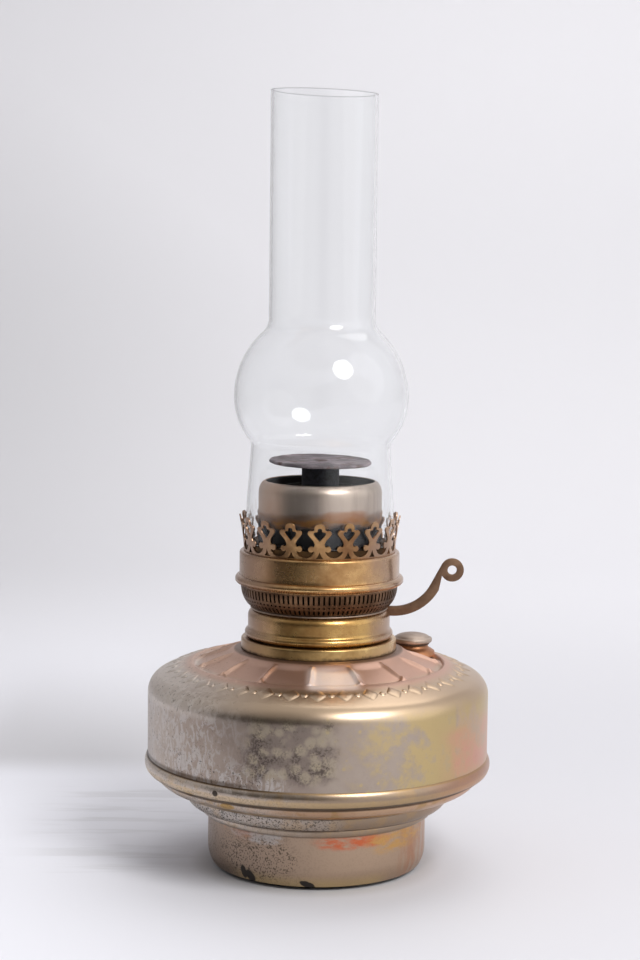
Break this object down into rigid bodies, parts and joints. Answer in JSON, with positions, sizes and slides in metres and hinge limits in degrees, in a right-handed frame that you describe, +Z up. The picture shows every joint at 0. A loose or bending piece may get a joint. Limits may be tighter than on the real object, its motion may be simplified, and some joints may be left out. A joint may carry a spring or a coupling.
{
  "type": "kerosene lamp",
  "caption": "Table kerosene lamp: round metal font on a drum foot, side-draught flame-disc burner with pierced gallery, wick lever and bulged glass chimney.",
  "frame": {"origin": "on the table, under the axis of the lamp", "axes": "+Z up along the axis, +X towards the wick lever, the picture looks along +Y"},
  "size_m": [0.1564, 0.1564, 0.3473],
  "materials": {
    "font_nickel": "worn nickel plate over brass, mottled and pitted",
    "foot_nickel": "worn nickel plate with bare copper-coloured patches",
    "collar_brass": "aged golden brass, satin",
    "gallery_brass": "aged golden-brown brass, satin",
    "crown_brass": "tarnished coppery brass",
    "basket_bronze": "dark tarnished brass",
    "cone_nickel": "heat-stained nickel plate",
    "lever_brass": "dull brown brass",
    "inner_brass": "plain brass inside the burner",
    "disc_soot": "matt, sooted",
    "cap_nickel": "dull nickel plate",
    "neck_copper": "worn, coppery",
    "seal_leather": "oiled washer",
    "wick_cotton": "woven cotton, charred at the top",
    "chimney_glass": "clear, thin"
  },
  "bodies": {
    "font": {"foot": "foot_nickel", "font_pan": "font_nickel", "font_shell": "font_nickel", "font_collar": "collar_brass", "filler_neck": "neck_copper"},
    "filler_seal": {"filler_seal": "seal_leather"},
    "filler_cap": {"filler_cap": "cap_nickel", "filler_stem": "neck_copper"},
    "burner": {"burner_collar": "collar_brass", "burner_floor": "inner_brass", "air_basket": "basket_bronze", "gallery_band": "gallery_brass", "gallery_crown": "crown_brass", "chimney_seat": "inner_brass", "deflector_cone": "cone_nickel", "outer_wick_tube": "inner_brass", "inner_wick_tube": "inner_brass", "inner_tube_floor": "inner_brass", "air_ducts": "inner_brass", "lever_bracket": "inner_brass", "bracket_rivets": "inner_brass", "lever_pin": "inner_brass", "spreader_socket": "inner_brass"},
    "lever": {"wick_lever": "lever_brass"},
    "wick_carrier": {"wick_yoke": "inner_brass", "wick_grippers": "inner_brass", "wick": "wick_cotton"},
    "flame_spreader": {"flame_disc": "disc_soot", "spreader_stem": "disc_soot", "spreader_rivet": "disc_soot"},
    "chimney": {"chimney": "chimney_glass"}
  },
  "joints": [
    {"name": "burner_lift", "type": "slide", "parent": "font", "child": "burner", "axis": [0, 0, 1], "range_m": [0, 0.06]},
    {"name": "wick_lever", "type": "hinge", "parent": "burner", "child": "lever", "pos_m": [0.0235, 0, 0.11579], "axis": [0, -1, 0], "range_deg": [0, 30]},
    {"name": "wick_lift", "type": "slide", "parent": "burner", "child": "wick_carrier", "axis": [0, 0, 1], "range_m": [-0.0127, 0]},
    {"name": "flame_spreader_lift", "type": "slide", "parent": "burner", "child": "flame_spreader", "axis": [0, 0, 1], "range_m": [0, 0.03]},
    {"name": "chimney_lift", "type": "slide", "parent": "burner", "child": "chimney", "axis": [0, 0, 1], "range_m": [0, 0.1]},
    {"name": "filler_cap_rise", "type": "slide", "parent": "font", "child": "filler_seal", "axis": [0, 0, 1], "range_m": [0, 0.0061]},
    {"name": "filler_cap_turn", "type": "hinge", "parent": "filler_seal", "child": "filler_cap", "pos_m": [0.04346, 0.02263, 0.09769], "axis": [0, 0, 1], "range_deg": [0, 1440]}
  ],
  "couplings": [
    {"joint": "wick_lift", "follows": "wick_lever", "m_per_rad": -0.024052},
    {"joint": "filler_cap_rise", "follows": "filler_cap_turn", "m_per_rad": 0.00023873}
  ]
}
